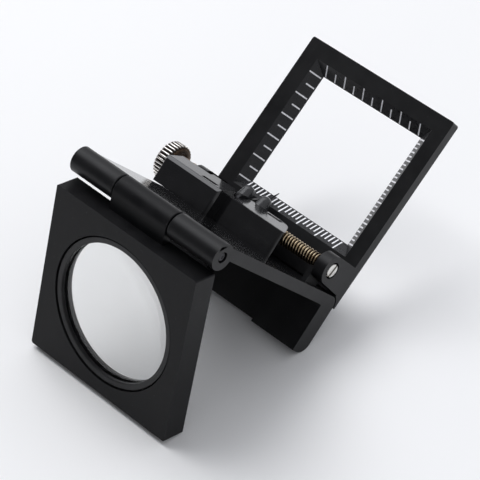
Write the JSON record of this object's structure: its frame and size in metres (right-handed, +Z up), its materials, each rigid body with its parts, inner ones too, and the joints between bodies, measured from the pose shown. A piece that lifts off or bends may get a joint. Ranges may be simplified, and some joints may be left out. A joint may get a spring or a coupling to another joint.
{
  "type": "folding magnifier",
  "caption": "Folding three-leaf magnifier: ruled window base, hinged arm, square lens leaf, and a lamp carriage with a pointer driven by a knob on a lead screw.",
  "frame": {"origin": "centre of the bounding box's bottom face, where the standing loupe meets the table", "axes": "+X along all three hinge axes, from the knob's end to the screw end; +Y from the lens leaf's foot towards the ruled window leaf; +Z up"},
  "size_m": [0.0466, 0.0802, 0.0424],
  "materials": {
    "black_paint": "satin black paint",
    "satin_black": "satin black",
    "lens_glass": "polished clear",
    "steel": "turned steel",
    "brass": "cut thread, slightly oiled",
    "bright_nickel": "bright nickel plate",
    "collar_brass": "turned",
    "spring_steel": "spring steel",
    "dark_steel": "blackened spring steel",
    "gloss_black": "polished black moulding",
    "clear_lamp": "water-clear epoxy",
    "cell_steel": "bright can",
    "contact_brass": "sheet",
    "board_green": "solder mask",
    "switch_black": "fine matt"
  },
  "bodies": {
    "arm": {"arm": "black_paint", "lens_hinge_pin": "dark_steel"},
    "base": {"base_frame": "black_paint", "wave_washer": "spring_steel"},
    "screw": {"lead_screw": "brass", "end_screw": "bright_nickel", "thumb_knob": "bright_nickel", "knob_screw": "steel", "knob_collar": "collar_brass"},
    "pointer": {"pointer": "dark_steel"},
    "carriage": {"carriage_housing": "gloss_black", "carriage_cover": "gloss_black", "half_nut": "brass", "lamp_left": "clear_lamp", "lamp_right": "clear_lamp", "button_cell_1": "cell_steel", "button_cell_2": "cell_steel", "button_cell_3": "cell_steel", "battery_contact_spring": "spring_steel", "battery_contact_plate": "contact_brass", "lamp_board": "board_green", "switch_body": "satin_black"},
    "switch": {"switch_slider": "switch_black"},
    "lens": {"lens_frame": "black_paint", "lens": "lens_glass", "lens_retaining_ring": "satin_black"}
  },
  "joints": [
    {"name": "base_hinge", "type": "hinge", "parent": "arm", "child": "base", "pos_m": [0.00407, 0.00494, 0.01685], "axis": [1, 0, 0], "range_deg": [0, 70]},
    {"name": "lens_hinge", "type": "hinge", "parent": "arm", "child": "lens", "pos_m": [0.00407, -0.02584, 0.03967], "axis": [1, 0, 0], "range_deg": [-214.6, 55.3]},
    {"name": "screw_turn", "type": "hinge", "parent": "base", "child": "screw", "pos_m": [0.00407, 0.00494, 0.01685], "axis": [1, 0, 0], "range_deg": [-4320, 900]},
    {"name": "carriage_slide", "type": "slide", "parent": "arm", "child": "carriage", "axis": [1, 0, 0], "range_m": [-0.00175, 0.0084]},
    {"name": "pointer_slide", "type": "slide", "parent": "base", "child": "pointer", "axis": [1, 0, 0], "range_m": [-0.00175, 0.0084]},
    {"name": "switch_slide", "type": "slide", "parent": "carriage", "child": "switch", "axis": [0, -0.684, 0.7294], "range_m": [0, 0.0008]}
  ],
  "couplings": [
    {"joint": "screw_turn", "follows": "carriage_slide", "rad_per_m": -8976},
    {"joint": "pointer_slide", "follows": "carriage_slide", "ratio": 1}
  ]
}
